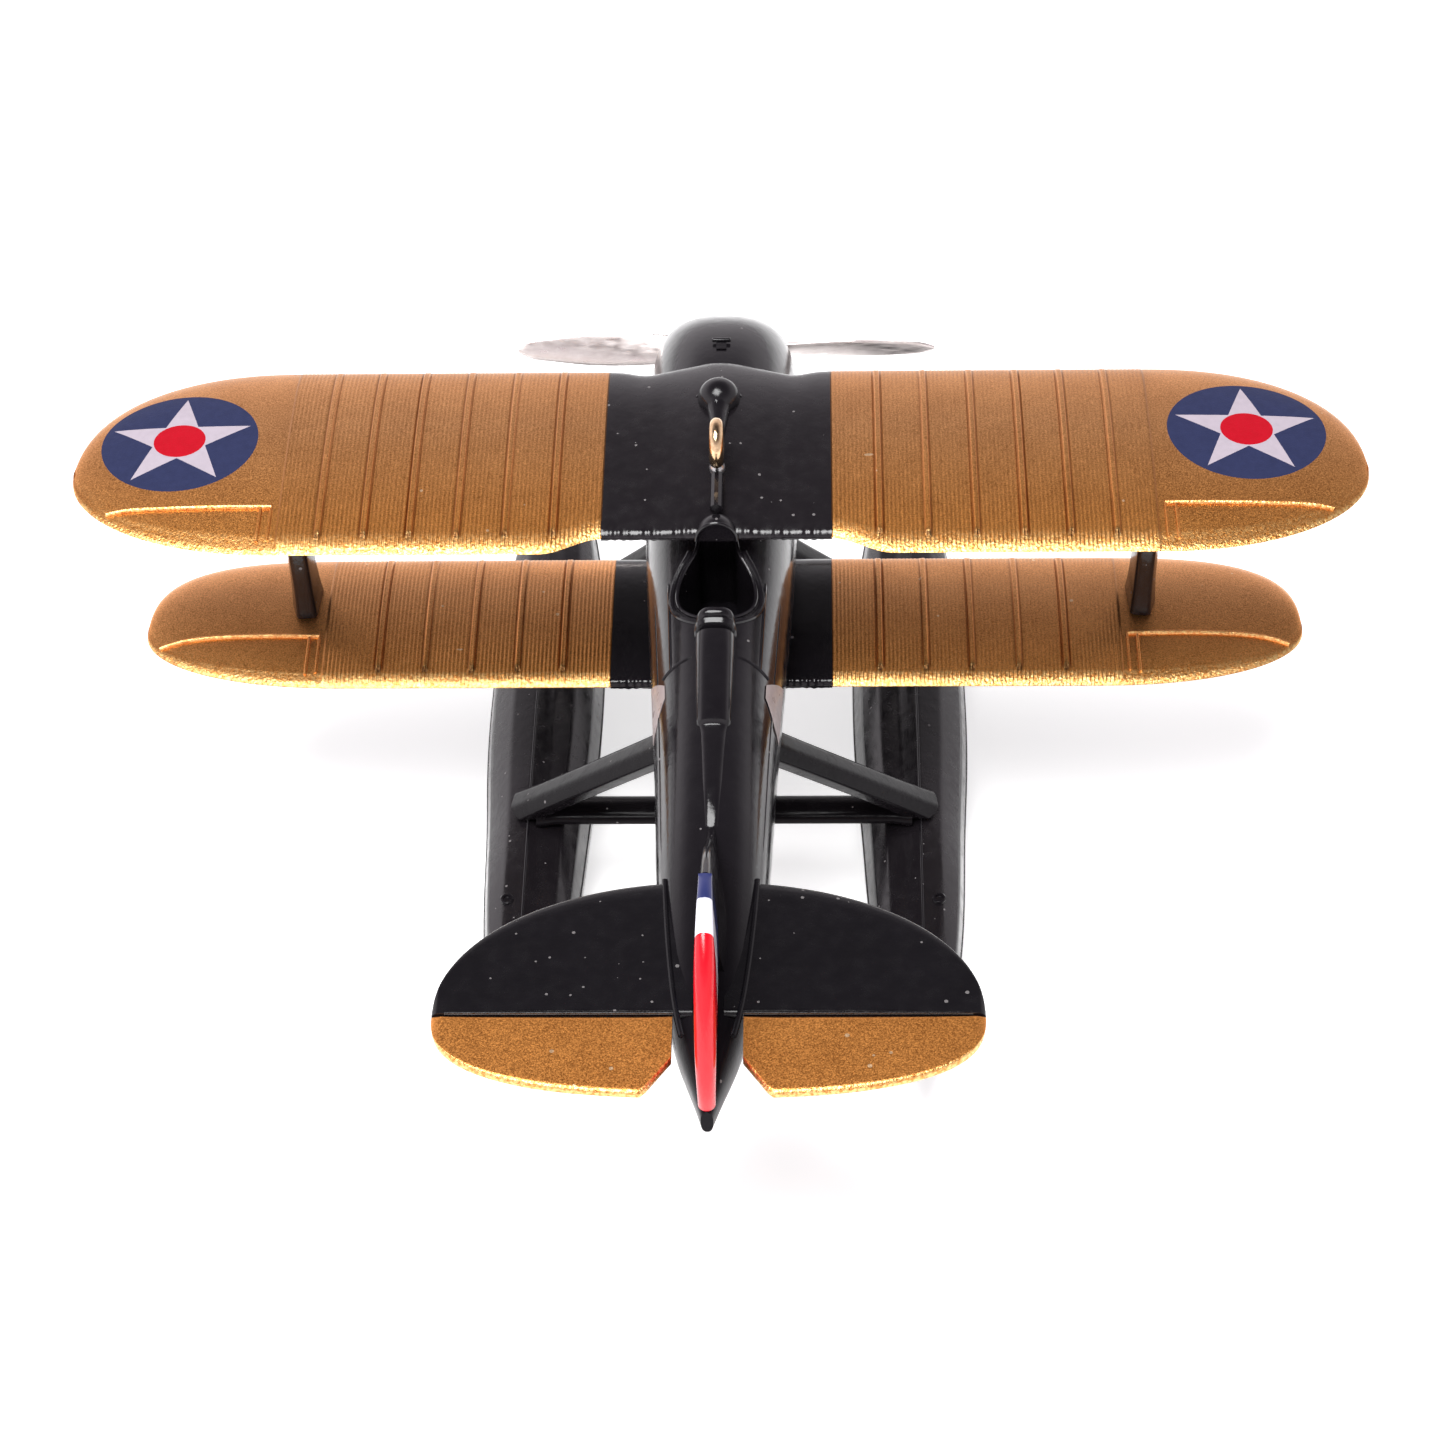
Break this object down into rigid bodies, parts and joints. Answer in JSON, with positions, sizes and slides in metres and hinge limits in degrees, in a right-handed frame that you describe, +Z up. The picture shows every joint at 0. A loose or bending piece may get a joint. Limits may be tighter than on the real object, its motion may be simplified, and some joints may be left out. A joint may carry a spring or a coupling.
{
  "type": "biplane scale model",
  "caption": "Small display model of a twin-float racing biplane with gold wings, black body, spinning propeller and a brass loop to hang it by.",
  "frame": {"origin": "on the plane that the float keels stand on, under the middle of the bounding box", "axes": "+X to starboard along the wing span, +Y forwards towards the propeller, +Z up"},
  "size_m": [0.112, 0.1054, 0.0504],
  "materials": {
    "black_lacquer": "glossy black lacquer over moulded plastic, with dust specks and fine scratches",
    "gold_paint": "metallic bronze-gold paint on moulded plastic, fine speckle, worn bright on edges",
    "striped_paint": "glossy blue, white and red paint",
    "silver_paint": "bright metal, lightly tarnished",
    "brass": "polished brass",
    "steel": "drawn steel rod"
  },
  "bodies": {
    "airframe": {"body_half_port": "black_lacquer", "body_half_starboard": "black_lacquer", "cockpit_deck": "black_lacquer", "cockpit_tub": "black_lacquer", "cowl_vent": "black_lacquer", "elevator_port": "gold_paint", "elevator_starboard": "gold_paint", "engine_cowl": "black_lacquer", "fin": "black_lacquer", "float_deck_port": "black_lacquer", "float_deck_starboard": "black_lacquer", "float_hull_port": "black_lacquer", "float_hull_starboard": "black_lacquer", "float_plug_port": "black_lacquer", "float_plug_starboard": "black_lacquer", "float_strut_front_port": "black_lacquer", "float_strut_front_starboard": "black_lacquer", "float_strut_rear_port": "black_lacquer", "float_strut_rear_starboard": "black_lacquer", "hanger_loop": "brass", "headrest_fairing": "black_lacquer", "interplane_strut_port": "black_lacquer", "interplane_strut_starboard": "black_lacquer", "lower_wing_joiner": "steel", "lower_wing_port": "gold_paint", "lower_wing_root_port": "black_lacquer", "lower_wing_root_starboard": "black_lacquer", "lower_wing_starboard": "gold_paint", "nose_bearing": "brass", "pilot_seat": "black_lacquer", "rudder": "striped_paint", "spreader_bar_front": "black_lacquer", "spreader_bar_rear": "black_lacquer", "stabiliser_port": "black_lacquer", "stabiliser_starboard": "black_lacquer", "tank_fairing": "black_lacquer", "upper_wing_centre": "black_lacquer", "upper_wing_joiner": "steel", "upper_wing_port": "gold_paint", "upper_wing_starboard": "gold_paint", "windscreen": "black_lacquer"},
    "propeller": {"propeller": "silver_paint", "spinner": "silver_paint", "propeller_shaft": "steel", "shaft_collar": "brass"}
  },
  "joints": [
    {"name": "propeller_spin", "type": "hinge", "parent": "airframe", "child": "propeller", "pos_m": [0, 0.0423, 0.032], "axis": [0, 1, 0], "continuous": true}
  ]
}
